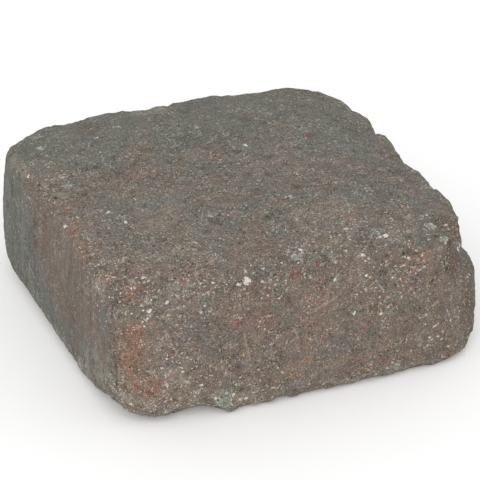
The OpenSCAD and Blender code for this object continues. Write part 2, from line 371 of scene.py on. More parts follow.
# Scattered spots: one point jittered in each cell; gives the nearest one's distance and two random numbers
def spots(points, size, seed):
    rng = np.random.default_rng(seed)
    jitter = rng.uniform(0, 1, (lattice, lattice, lattice, 3))
    chance = rng.uniform(0, 1, (lattice, lattice, lattice, 2))
    q = points / size + rng.uniform(0, lattice, 3)
    base = np.floor(q).astype(int)
    best = np.full(len(points), 9.0)
    drawn = np.zeros((len(points), 2))
    for step in np.ndindex(3, 3, 3):
        cell = base + np.array(step) - 1
        i = cell % lattice
        away = np.linalg.norm(cell + jitter[i[:, 0], i[:, 1], i[:, 2]] - q, axis=1)
        nearer = away < best
        best = np.where(nearer, away, best)
        drawn[nearer] = chance[i[:, 0], i[:, 1], i[:, 2]][nearer]
    return best * size, drawn[:, 0], drawn[:, 1]


# Roughness of the stone, in mm
rough = {
    # flats knocked off: a point, the way the flat faces, the height it ends at, how steeply it ends
    "knocks": (((-77.0, -57.0, 57.0), (-0.45, -0.66, 0.61), 38.0, 0.9),
               ((68.5, -57.4, 42.0), (0.92, -0.38, 0.05), 30.0, 0.9),
               ((35.0, -77.5, 50.0), (0.20, -0.61, 0.76), 0.0, 1.0),
               ((-60.0, -75.0, 52.0), (-0.12, -0.47, 0.87), 0.0, 1.0)),
    # reliefs: height, size, seed, layers, gain
    "uneven": (0.5, 6.0, 71, 2, 0.5),  # waves of those flats
    "swell": (0.45, 38.0, 3, 1, 0.5),  # slow waves over every face
    "scoops": (1.0, 8.0, 11, 2, 0.45),  # where the edges are bitten
    "crumbs": (0.40, 3.4, 23, 2, 0.6),  # crumbled edges
    "foot": (0.8, 3.4, 83, 2, 0.6),  # more of them round the foot
    "grain": (0.20, 1.9, 31, 2, 0.6),  # sandy grain over every face
    "drag": (0.16, 3.0, 53, 3, 0.6),  # upright drag lines on the left face
    "dragStretch": (1.0, 1.0, 0.05),
    "footHeight": 12.0,
    "cornerWear": 0.6,
    "keenEdge": (-77.0, 9.0, -62.0, 12.0),  # left edge, keen: X, width, from Y on, over how far
    "smoothEdge": (25.0, 35.0),  # back edge, smooth: from Y on, over how far
    "spared": 0.6,  # share of the wear that these two lack
    "bite": 1.4,  # depth of the scoops
    "biteFrom": 0.12,  # where in their waves they begin, and over how much they deepen
    "biteOver": 0.6,
    "biteCurve": 1.5,
    "wornShow": (0.6, 0.8),  # mask of the wear: anywhere on the edges, and added in the scoops
    "edgeLoss": 0.25,  # rubbed off the edges all along
    "crumbLeast": 0.16,  # share of the crumbs that the faces have
    "pit": 0.8,  # small open pits
    "pitCell": 6.0,
    "pitShare": 0.30,
    "pitSeed": 41,
    "pitReach": (0.6, 1.3),  # least, and added by chance
    "pitDeep": (0.35, 0.65),  # shares of the depth, likewise
    "facing": 4,  # power by which a face counts as turned left or down
    "leftCalm": 0.55,  # share that the left face lacks between its edges
    "bedCalm": 0.8,  # share that the bed lacks
}


# One relief: its height times a layered field
def relief(kind, points):
    height, size, seed, layers, gain = rough[kind]
    return height * layered(points, size, seed, layers, gain)


# Knocked-off flats: a point beyond a flat goes back to it, more gently towards its lower end
def knockedOff(points):
    out = points.copy()
    for place, facing, down, steep in rough["knocks"]:
        way = np.array(facing) / np.linalg.norm(facing)
        over = np.minimum((out - np.array(place)) @ way + relief("uneven", out), steep * (out[:, 2] - down))
        out -= np.maximum(over, 0)[:, None] * way
    return out


# Rough stone: flats first, then moved along its normals by waves, bites, crumbs, grain and pits
def roughStone(points, quads, edge, corner):
    flat = knockedOff(points)
    gone = np.linalg.norm(flat - points, axis=1)
    normals = pointNormals(flat, quads)
    wear = 1 - (1 - edge) * (1 - rough["cornerWear"] * corner) * (1 - np.clip(gone, 0, 1))
    edgeX, wide, fromY, overY = rough["keenEdge"]
    keen = np.exp(-((flat[:, 0] - edgeX) / wide) ** 2) * np.clip((flat[:, 1] - fromY) / overY, 0, 1)
    fromY, overY = rough["smoothEdge"]
    wear *= 1 - rough["spared"] * np.maximum(keen, np.clip((flat[:, 1] - fromY) / overY, 0, 1))
    out = relief("swell", flat)
    bite = np.clip((relief("scoops", flat) - rough["biteFrom"]) / rough["biteOver"], 0, 1)
    bite = bite ** rough["biteCurve"]
    out -= wear * (rough["edgeLoss"] + rough["bite"] * bite)
    out += (rough["crumbLeast"] + (1 - rough["crumbLeast"]) * wear) * relief("crumbs", flat)
    out += np.clip(1 - flat[:, 2] / rough["footHeight"], 0, 1) * relief("foot", flat)
    out += relief("grain", flat)
    away, pick, size = spots(flat, rough["pitCell"], rough["pitSeed"])
    least, added = rough["pitReach"]
    pit = (pick < rough["pitShare"]) * np.exp(-(away / (least + added * size)) ** 2)
    least, added = rough["pitDeep"]
    out -= rough["pit"] * (least + added * size) * pit
    left = np.clip(-normals[:, 0], 0, 1) ** rough["facing"]
    out *= 1 - rough["leftCalm"] * left * (1 - wear)
    out += left * relief("drag", flat * np.array(rough["dragStretch"]))
    out *= 1 - rough["bedCalm"] * np.clip(-normals[:, 2], 0, 1) ** rough["facing"]
    moved = flat + normals * out[:, None]
    moved[:, 2] = np.maximum(moved[:, 2], 0)
    least, added = rough["wornShow"]
    return moved, normals, np.clip(wear * (least + added * bite), 0, 1), pit


# Mesh from arrays, in metres, smooth, with its masks as point attributes
def makePiece(name, points, quads, fan, masks):
    mesh = bpy.data.meshes.new(name)
    loops = np.concatenate([quads.ravel(), fan.ravel()])
    counts = np.concatenate([np.full(len(quads), 4), np.full(len(fan), 3)])
    mesh.vertices.add(len(points))
    mesh.vertices.foreach_set("co", (points * millimetre).ravel())
    mesh.loops.add(len(loops))
    mesh.loops.foreach_set("vertex_index", loops)
    mesh.polygons.add(len(counts))
    mesh.polygons.foreach_set("loop_start", np.concatenate([[0], np.cumsum(counts)[:-1]]))
    mesh.polygons.foreach_set("use_smooth", np.ones(len(counts), bool))
    for key, values in masks.items():
        layer = mesh.attributes.new(key, "FLOAT", "POINT")
        layer.data.foreach_set("value", values.astype(np.float32))
    mesh.update(calc_edges=True)
    mesh.validate()
    return putIn(name, mesh)


# Listed patches, in mm: middle, reach along X, Y and Z, strength
patches = {
    # rust red: on the front left corner and along the crests
    "rust": (
        (-71, -69, 31, 5.5, 5, 12, 1.0), (-64, -73.5, 18, 6, 6, 6, 0.8), (-69, -70, 41, 5, 4, 5, 0.6),
        (-68, -64, 55, 7, 7, 4, 0.5), (-76, -36, 56, 4, 13, 4, 0.5), (-73, -16, 56.5, 5, 12, 4, 0.5),
        (-71, 1, 57, 5, 9, 3, 0.5), (-75, 40, 57, 3, 10, 3, 0.4), (44, -73.5, 49.5, 8, 5, 1.5, 0.6),
        (59, -72, 41, 4, 6, 5, 0.5), (46, -76, 31.3, 1.6, 3, 1.8, 0.7), (-58, -44, 59, 9, 9, 3, 0.4),
        (-74, -56, 57, 4, 5, 3, 0.5),
    ),
    # rose: soft places on the front, on the left crest and on the wearing face
    "rose": (
        (-24, -77, 39, 11, 6, 5, 0.9), (2, -77, 41, 9, 6, 7, 0.8), (1, -77, 26, 10, 6, 7, 0.7),
        (-37, 10, 60, 9, 8, 4, 0.7), (-60, -74, 15, 9, 6, 7, 0.8), (-58, -74, 41, 5, 5, 5, 0.6),
        (-76, 8, 42, 4, 9, 12, 0.5), (-12, -77, 12, 20, 6, 6, 0.6), (-72, -34, 57.5, 6, 14, 4, 0.8),
        (-14, -66, 59, 20, 9, 4, 0.8), (-46, -64, 58, 10, 8, 4, 0.6), (-34, -77, 19, 5, 5, 4, 0.8),
        (-64, -56, 58, 9, 9, 4, 0.6),
    ),
    # grey green and darker: back and right of the wearing face, foot of the left face, the front left edge
    "moss": (
        (-30, 46, 60, 28, 18, 9, 0.6), (20, 62, 60, 40, 16, 9, 0.3), (-77, -60, 42, 4, 4, 9, 1.0),
        (-76.5, -65, 25, 1.6, 2.2, 9, 0.9), (-50, 2, 60, 12, 8, 6, 0.5), (12, -17, 60, 26, 8, 6, 0.6),
        (-47, -76, 42, 7, 6, 6, 0.6), (52, 8, 58, 24, 24, 10, 0.9), (8, 22, 60, 22, 14, 6, 0.6),
        (-50, -20, 60, 9, 7, 5, 0.5), (18, -77, 21, 9, 6, 7, 0.5), (48, -77, 5, 9, 6, 5, 0.5),
        (-77, -12, 12, 4, 26, 10, 0.6), (47, -70, 52, 6, 5, 3, 0.5), (44, -76, 26, 8, 6, 14, 0.5),
        (-77, -42, 20, 4, 14, 14, 0.6),
    ),
    # chalky and lighter: the front left bevel, the front and the wearing face; painted light along the
    # bottom edge and the foot of the front left corner, and a painted highlight along the left crest
    "chalkAndPaintedLight": (
        (-76.5, -56, 52, 4, 5, 4.5, 0.6), (-72, -69, 14, 8, 8, 11, 0.6), (-53, -75, 24, 8, 6, 8, 0.6),
        (-48, -54, 60, 18, 16, 5, 0.7), (12, -45, 60, 35, 10, 5, 0.4), (-22, -77, 26, 14, 6, 12, 0.45),
        (-36, -76, 6, 12, 6, 7, 1.0), (-68, -36, 58.5, 8, 14, 4, 0.4), (-54, -74, 9, 14, 6, 7, 1.0),
        (-77, -34, 7, 6, 22, 6, 0.8), (-71, -69, 18, 6, 6, 8, 0.5), (-58, -71, 51, 6, 5, 4, 0.6),
        (-10, 63, 55, 10, 8, 6, 0.9), (31, 23, 60, 9, 8, 4, 0.6), (36, -76, 3, 14, 6, 4, 0.7),
        # the first and the last here are a painted highlight along the left crest
        (-75, 36, 56.5, 3, 14, 2.5, 0.8), (-27, -77, 46, 8, 5, 4, 0.5), (-74, -24, 57, 4, 32, 3, 0.5),
        (-77, -66, 26, 4, 7, 10, 0.5), (9, -76, 48, 7, 5, 5, 0.8), (30, -76, 34.5, 6, 5, 5, 0.6),
        (8, -77, 3, 12, 6, 4, 0.7), (57, -26, 57, 9, 9, 4, 0.6), (-73, -66, 48, 4, 4, 5, 0.5),
        (-62, -74, 16, 7, 5, 6, 0.5), (24.5, -66, 55.5, 5, 4, 3, 0.6), (57, 29, 55, 5, 9, 5, 0.5),
    ),
    # painted shadow in dark brown: in the hollow round the notch and the crevices down the front right
    # corner; elsewhere darker brown places
    "shade": (
        (63, -62, 52, 6, 7, 4, 0.9), (54, -62, 54, 6, 5, 3, 0.8), (58, -71, 42, 6, 5, 6, 1.0),
        (69, -68, 21, 6, 8, 11, 1.0), (52, -77, 28, 5, 5, 6, 0.5), (-7, -71.5, 57.5, 9, 4, 3, 0.7),
        (-38, 58, 57, 12, 8, 4, 0.4), (-77, -62, 30, 3, 2, 10, 0.4), (-47, 13, 60, 9, 6, 4, 0.6),
        (65, -71, 22, 5, 6, 7, 0.6), (55, -73.5, 44, 4, 4, 4, 0.6), (-62, -66, 56, 5, 4, 3, 0.6),
        (-69.7, -9, 57, 4, 5, 3, 0.5), (-40, 53, 58, 7, 6, 4, 0.4),
    ),
    # more pale crumbs
    "crumbs": (
        (-45, -74, 20, 22, 10, 16, 0.6), (-58, -70, 50, 18, 12, 8, 0.8), (40, -74, 47, 27, 12, 9, 0.4),
        (58, -70, 15, 18, 14, 14, 0.5), (-38, -77, 5, 28, 10, 8, 1.0), (10, -66, 57, 50, 14, 6, 0.5),
        (-75, -59, 51, 8, 8, 9, 1.0), (31, -77, 34.5, 4, 4, 4, 1.0), (-74, -24, 56.5, 5, 34, 4, 0.7),
    ),
    # slate grey: on the front
    "slate": (
        (-48, -76, 42, 9, 6, 8, 0.9), (-40, -77, 30, 6, 5, 5, 0.5), (10, -77, 20, 5, 5, 5, 0.6),
    ),
    # pale green: down the front left bevel; along the foot of the left face it is painted light
    "bloomAndFootLight": (
        (-77, -54.5, 53, 4, 4.5, 5, 1.0), (-74, -66, 20, 5, 5, 10, 0.5), (-37, -76, 6, 6, 5, 5, 0.9),
        (-77, -42, 18, 4, 14, 14, 0.5), (-77, -56, 18, 4, 8, 13, 0.5), (-77, 14, 24, 4, 14, 10, 0.4),
        # the first here is painted light along the foot of the left face
        (-77, -4, 5, 4, 44, 7, 0.7), (-77, -26, 36, 4, 5, 6, 0.5),
    ),
}

# Listed spots, in mm: middle and reach
dots = {
    "paleDots": (
        (33.7, -64.6, 55.8, 1.1), (-1.4, -65.8, 58.0, 0.9), (20.5, -72.8, 55.1, 1.1),
        (62.3, -67.6, 45.1, 0.8), (63.6, -68.5, 33.2, 0.9), (7.5, -76.5, 48.8, 0.8),
        (15.4, -77.1, 33.1, 0.9), (-56.8, -12.6, 58.4, 0.9), (-54.0, -23.0, 58.8, 0.9),
        (-74.3, 28.9, 56.2, 0.8), (-73.2, -10.2, 54.6, 0.9), (-62.2, -62.2, 58.1, 0.8),
        (-63.6, -71.9, 49.6, 0.9), (-57.0, -71.4, 51.4, 0.9), (-64.7, -71.8, 46.8, 0.8),
        (-26.6, -73.7, 55.0, 1.7), (-30.2, -74.5, 54.8, 0.9), (-39.1, -72.4, 56.3, 0.8),
        (-40.4, 43.1, 59.4, 0.8), (-70.5, -69.9, 10.3, 0.9), (-33.0, -76.8, 9.2, 0.8),
        (-27.3, -76.1, 5.7, 0.7), (-20.9, -76.3, 4.9, 0.6), (-39.9, -76.6, 9.1, 0.6),
    ),
    "redDots": (
        (1.9, -74.6, 56.5, 1.4), (10.2, -74.2, 56.1, 1.3), (-8.2, -76.0, 54.9, 1.7),
        (-73.8, -19.2, 56.6, 2.0), (-77.1, 13.9, 35.0, 1.8), (-31.2, -77.2, 40.4, 1.8),
        (-76.3, -52.9, 56.7, 1.2), (-49.9, -68.2, 57.1, 1.2), (-64.3, -73.1, 15.8, 1.3),
        (-61.3, -74.0, 19.2, 1.1), (-69.2, -71.0, 19.1, 1.0), (-69.4, -65.3, 52.9, 1.2),
        (36.0, 12.0, 60.0, 1.6), (-9.0, -5.0, 60.0, 1.2),
    ),
    "greenDots": (
        (20.4, -53.0, 57.9, 1.8), (-5.0, -70.0, 57.6, 2.2), (56.2, -68.1, 51.0, 1.8),
        (53.4, -62.4, 53.9, 2.0), (-60.4, 59.2, 55.3, 2.0), (-63.1, 46.0, 57.8, 2.0),
        (-63.8, 12.0, 58.5, 2.2), (-36.9, -76.8, 6.6, 2.8), (33.0, -77.3, 5.7, 1.8),
    ),
    # dark spots, sunk as small holes by the bump and painted dark as the shade in them
    "darkDots": (
        (-73.4, 19.0, 57.2, 0.9), (-70.9, 7.2, 57.2, 0.7), (2.4, -68.4, 57.9, 0.6),
        (37.3, -72.3, 51.2, 0.8), (48.0, -75.6, 39.0, 0.6), (54.9, -73.8, 41.7, 0.6),
    ),
}


# Beyond the patches, in mm: moss over the back of the wearing face, painted light round the foot in the
# chalk colour, crumbs anywhere
spread = {
    "moss": 0.7,
    "mossFrom": 5.0,
    "mossOver": 40.0,
    # up to this height the foot is painted lighter, as if lit from below
    "footLightHeight": 8.0,
    "crumbs": 0.35,
    "wornCrumbs": 0.3,  # more on worn edges
    "leftCrumbs": 0.1,  # less on the left face
}


# Sum of listed patches: strength times a bell curve of the distance over its reach
def placed(patchList, points):
    total = np.zeros(len(points))
    for row in np.array(patchList):
        away = (points - row[:3]) / row[3:6]
        total += row[6] * np.exp(-(away ** 2).sum(1))
    return np.clip(total, 0, 1)


# Listed spots: 1 in the middle, a half at the reach, nought at twice the reach; the highest counts
def dotted(dotList, points):
    highest = np.zeros(len(points))
    for row in np.array(dotList):
        away = np.linalg.norm(points - row[:3], axis=1)
        highest = np.maximum(highest, 1 - away / (2 * row[3]))
    return highest


points, quads, fan, edge, corner = smoothStone()
moved, normals, wear, pit = roughStone(points, quads, edge, corner)
masks = {key: placed(values, moved) for key, values in patches.items()}
masks |= {key: dotted(values, moved) for key, values in dots.items()}
masks["wear"] = wear
masks["pit"] = pit
masks["leftFace"] = np.clip(-normals[:, 0], 0, 1) ** 3
masks["frontFace"] = np.clip(-normals[:, 1], 0, 1) ** 2
toBack = np.clip((moved[:, 1] - spread["mossFrom"]) / spread["mossOver"], 0, 1)
masks["moss"] = np.clip(masks["moss"] + spread["moss"] * toBack * normals[:, 2], 0, 1)
# painted light: the chalk mask rises to full at the floor, so the foot is lighter as if lit from below
masks["chalkAndPaintedLight"] = np.clip(masks["chalkAndPaintedLight"] + np.clip(1 - moved[:, 2] / spread["footLightHeight"], 0, 1), 0, 1)
masks["crumbs"] += spread["crumbs"] + spread["wornCrumbs"] * wear - spread["leftCrumbs"] * masks["leftFace"]
masks["crumbs"] = np.clip(masks["crumbs"], 0, 1)
stonePiece = makePiece("pavingStone", moved, quads, fan, masks)
print("stone made:", len(moved), "points,", 2 * len(quads) + len(fan), "triangles")


# Colour from 0-255 screen values to the linear values that sockets take: the screen's own curve undone
def screen(r, g, b):
    v = np.array((r, g, b)) / 255.0
    lin = np.where(v <= 0.04045, v / 12.92, ((v + 0.055) / 1.055) ** 2.4)
    return (*[float(x) for x in lin], 1.0)


# A socket of a node tree: operators add Math nodes, make adds any other node
class Wire:
    def __init__(self, tree, socket=None):
        self.tree = tree
        self.socket = socket

    # settings first, then values or links of the sockets; gives one of the node's outputs
    def make(self, kind, settings=None, sockets=None, out=0):
        node = self.tree.nodes.new(kind)
        for key, value in (settings or {}).items():
            setattr(node, key, value)
        for key, value in (sockets or {}).items():
            if isinstance(value, Wire):
                self.tree.links.new(value.socket, node.inputs[key])
            else:
                node.inputs[key].default_value = value
        return Wire(self.tree, node.outputs[out] if len(node.outputs) else None)

    # another output of the same node
    def also(self, out):
        return Wire(self.tree, self.socket.node.outputs[out])

    # one Math node: the operation on the values in their order
    def math(self, operation, *values):
        return self.make("ShaderNodeMath", {"operation": operation}, dict(enumerate(values)))

    def __add__(self, other):
        return self.math("ADD", self, other)

    __radd__ = __add__

    def __sub__(self, other):
        return self.math("SUBTRACT", self, other)

    def __rsub__(self, other):
        return self.math("SUBTRACT", other, self)

    def __mul__(self, other):
        return self.math("MULTIPLY", self, other)

    __rmul__ = __mul__

    def __truediv__(self, other):
        return self.math("DIVIDE", self, other)

    def __rtruediv__(self, other):
        return self.math("DIVIDE", other, self)

    # 0 below low, 1 above high, smooth between
    def rise(self, low, high):
        sockets = {0: self, 1: low, 2: high, 3: 0.0, 4: 1.0}
        return self.make("ShaderNodeMapRange", {"interpolation_type": "SMOOTHSTEP"}, sockets)

    # the first colour where this is nought, the second where it is one, straight between
    def mix(self, colourA, colourB):
        settings = {"data_type": "RGBA", "blend_type": "MIX", "clamp_factor": True}
        return self.make("ShaderNodeMix", settings, {0: self, 6: colourA, 7: colourB}, 2)


# A new material with an empty node tree, and a wire to begin from
def newMaterial(name):
    material = bpy.data.materials.new(name)
    material.use_nodes = True
    material.node_tree.nodes.clear()
    return material, Wire(material.node_tree)


# Concrete: colours as 0-255 screen values, and sizes in mm
concrete = {
    "colours": {
        "greyGreen": (114, 114, 107), "greyBrown": (127, 117, 107), "redBrown": (137, 112, 100),
        "wallGrey": (112, 113, 107), "wallBrown": (124, 112, 102), "ochre": (135, 121, 99),
        "rust": (143, 104, 82), "rose": (143, 112, 101), "tan": (147, 124, 100), "sage": (110, 117, 104),
        # chalk is also the colour of the painted light at the foot and of the painted highlight on the left
        # crest
        "slate": (111, 105, 103), "moss": (109, 112, 105), "chalkAndPaintedLight": (152, 143, 130),
        # brown is the colour of the painted shadow round the notch and down the front right corner
        "brown": (101, 89, 78), "pale": (238, 234, 223), "cream": (190, 179, 165),
        # dark is the painted shade in holes, pits and creases, and the colour of the cracks
        "paleGreen": (155, 160, 148), "brick": (132, 78, 63), "dark": (62, 56, 49),
    },
    # noises: size, detail, roughness, shift, and stretch where it isn't even
    "noises": {
        "hue": (13.0, 4.0, 0.62, 23.0), "red": (17.0, 4.0, 0.62, 41.0), "yellow": (8.0, 4.0, 0.6, 211.0),
        "ochre": (4.5, 2.0, 0.6, 61.0), "bands": (10.0, 3.0, 0.5, 231.0, (1.0, 1.0, 0.25)),
        "streak": (5.0, 2.0, 0.5, 201.0, (1.0, 1.0, 0.1)), "broad": (22.0, 4.0, 0.6, 3.0),
        "middle": (4.0, 3.0, 0.6, 77.0, (0.7, 1.0, 0.7)), "small": (1.3, 2.0, 0.6, 95.0, (0.6, 1.0, 0.6)),
        "grain": (0.38, 1.0, 0.6, 113.0, (1.0, 0.65, 1.0)), "ragged": (1.1, 2.0, 0.6, 161.0),
        "patchy": (6.0, 2.0, 0.6, 181.0), "thread": (11.0, 2.0, 0.5, 411.0),
        "threadRun": (7.0, 1.0, 0.5, 431.0), "crack": (9.0, 2.0, 0.5, 471.0),
        "crackRun": (6.0, 1.0, 0.5, 491.0), "cluster": (8.0, 2.0, 0.6, 391.0),
        "chunk": (6.0, 1.0, 0.5, 561.0),
    },
    "sand": (0.45, 131.0, (1.0, 0.65, 1.0)),  # cell, shift, stretch: grains lie along Y, longer by half
    # flecks: cell, share of the cells, reach in cells, shift, raggedness, and a stretch of its own
    "stones": {
        "tan": (4.2, 0.45, 0.36, 601.0, 1.1), "rose": (3.4, 0.40, 0.36, 621.0, 1.1),
        "slate": (4.8, 0.45, 0.36, 641.0, 1.1), "sage": (4.4, 0.40, 0.36, 661.0, 1.1),
        "rust": (3.0, 0.25, 0.34, 681.0, 1.1),
    },
    "flecks": {
        "greenStones": (6.0, 0.22, 0.24, 301.0, 0.9), "redStones": (8.0, 0.09, 0.10, 451.0, 0.8),
        "speck": (1.3, 0.16, 0.30, 351.0, 0.8), "chunks": (3.2, 0.40, 0.24, 541.0, 1.2),
        "pale": (1.5, 0.70, 0.23, 331.0, 1.2), "large": (4.5, 0.16, 0.14, 371.0, 1.2),
        "runs": (2.2, 0.20, 0.22, 521.0, 1.0, (1.0, 1.0, 0.35)), "dark": (2.0, 0.20, 0.22, 501.0, 0.5),
    },
    # listed patches: the two noises that break one up, their gain, where it begins and is full
    "patchLook": {
        "moss": ("middle", "broad", 1.2, 0.1, 1.0), "chalkAndPaintedLight": ("middle", "small", 2.0, 0.1, 1.1),
        "bloomAndFootLight": ("middle", "small", 2.2, 0.2, 1.0), "shade": ("middle", "small", 1.6, 0.1, 0.9),
        "rose": ("hue", "red", 2.2, 0.1, 1.0), "rust": ("middle", "red", 1.8, 0.15, 0.85),
        "slate": ("middle", "small", 1.8, 0.1, 1.0),
    },
    # listed spots: raggedness, where one begins and is full
    "dotLook": {
        "greenDots": (1.3, 0.4, 0.62), "redDots": (1.5, 0.40, 0.66), "paleDots": (1.6, 0.50, 0.64),
        "darkDots": (0.4, 0.42, 0.6),
    },
    # fine lines: half width and rim, and where a stretch of one begins and is full
    "lines": {
        "thread": (0.002, 0.011, 0.04, 0.12), "crack": (0.002, 0.009, 0.07, 0.14),
    },
    # what is laid over the body: strength and colour
    "covers": {
        "ochre": (0.45, "ochre"), "red": (0.34, "redBrown"), "moss": (0.75, "moss"),
        "chalkAndPaintedLight": (0.68, "chalkAndPaintedLight"), "bloomAndFootLight": (0.45, "paleGreen"), "shade": (0.75, "brown"),
        "rose": (0.42, "rose"), "rust": (0.6, "rust"), "slate": (0.6, "slate"),
        "greenStones": (0.40, "paleGreen"), "greenDots": (0.8, "paleGreen"), "redStones": (0.40, "brick"),
        "redDots": (0.6, "brick"), "thread": (1.0, "cream"), "crack": (0.5, "dark"),
        "speck": (0.6, "cream"), "chunks": (0.6, "cream"), "pale": (0.95, "pale"), "large": (0.85, "pale"),
        "runs": (0.6, "cream"), "paleDots": (0.8, "pale"), "dark": (0.45, "dark"), "pit": (0.5, "dark"),
        "darkDots": (0.9, "dark"),
    },
    # where each begins and is full; a fleck ends in reaches, a scratch in half widths
    "ends": {
        "hue": (-0.16, 0.16), "ochre": (0.06, 0.20), "red": (-0.08, 0.28), "wall": (-0.4, 0.5),
        "patchy": (-0.15, 0.2), "lit": (0.82, 1.0), "sunk": (0.84, 1.0), "cluster": (0.25, 0.95),
        "chunk": (0.8, 1.0), "scratch": (0.5, 1.5), "fleck": (0.65, 1.1), "pick": (-0.01, 0.01),
    },
    "fleckGrain": 0.35,  # raggedness of a fleck: size in cells, and shift
    "fleckShift": 9.0,
    "fleckLeast": 0.4,  # share of the reach that the smallest have
    "fleckFaint": 0.3,  # how plain the faintest are
    "frontHue": 0.10,  # the front is browner and redder
    "frontRed": 0.16,
    "wallFrom": 45.0,  # the left face turns from brown to grey so far to the front, at the foot
    "wallLean": 1.4,  # and farther back with the height
    "wallFade": 0.035,  # per mm
    "wallStart": 0.2,  # how brown it is there
    "wallBands": 2.6,
    "wallCover": 0.95,
    "stoneShow": 0.28,  # stones under the skin
    "stoneFront": 0.34,  # more on the front
    "stoneLeft": 0.6,  # share that the left face hides
    "calmLeft": 0.35,  # shading that the left face and the moss lack
    "calmMoss": 0.2,
    "litLeast": 0.2,  # share of the lit grains in the dullest places
    # shading by sand and noise
    "tones": {"grain": 2.4, "lit": 1.8, "sunk": 0.45, "level": 0.08, "small": 0.84, "middle": 0.72,
              "broad": 0.50, "streak": 0.8},
    "redStep": 0.943,  # the shading's step in red and in blue, where green has 1
    "blueStep": 1.093,
    "yellowStep": 0.22,
    "threadShow": 0.35,  # threads, faint and broken
    "threadRagged": 1.6,
    "clusterGain": 2.2,  # pale crumbs in clusters
    "speckLeast": 0.35,  # outside the clusters
    "paleLeast": 0.12,
    # raised and sunk by the bump
    "heights": {"grain": 0.6, "sand": 0.3, "small": 0.6, "pale": 0.25, "paleDots": 0.3, "dark": -0.5,
                "darkDots": -0.8},
    "bumpStrength": 0.8,
    "bumpDistance": 0.0007,  # metres
    "roughness": 0.88,
    "roughGrain": 0.3,
    "gloss": 0.25,
    # scratches on the front, and painted shadow as dark creases by the front left edge and under the crest
    # by the notch: from, to, half width, strength, colour
    "scratches": (
        ((21.6, -76.3, 42.5), (24.6, -75.8, 44.4), 0.28, 0.55, "cream"),
        ((24.6, -75.8, 44.4), (27.7, -76.0, 39.4), 0.28, 0.65, "cream"),
        ((-2.8, -77.2, 37.3), (8.3, -76.9, 41.8), 0.45, 0.30, "cream"),
        ((-9.1, -77.4, 32.9), (-7.5, -77.6, 28.2), 0.30, 0.45, "cream"),
        ((-7.5, -77.6, 28.2), (-9.9, -77.3, 27.2), 0.30, 0.45, "cream"),
        ((-28.9, -77.2, 34.7), (-26.6, -77.4, 23.2), 0.45, 0.30, "cream"),
        ((-75.7, -66.4, 39.0), (-75.6, -66.4, 32.0), 0.50, 0.30, "dark"),
        ((-75.6, -66.4, 32.0), (-75.2, -67.2, 19.0), 0.60, 0.45, "dark"),
        ((36.0, -73.0, 51.0), (57.0, -70.5, 47.5), 0.60, 0.35, "dark"),
    ),
    "scratchRagged": 3.0,
}


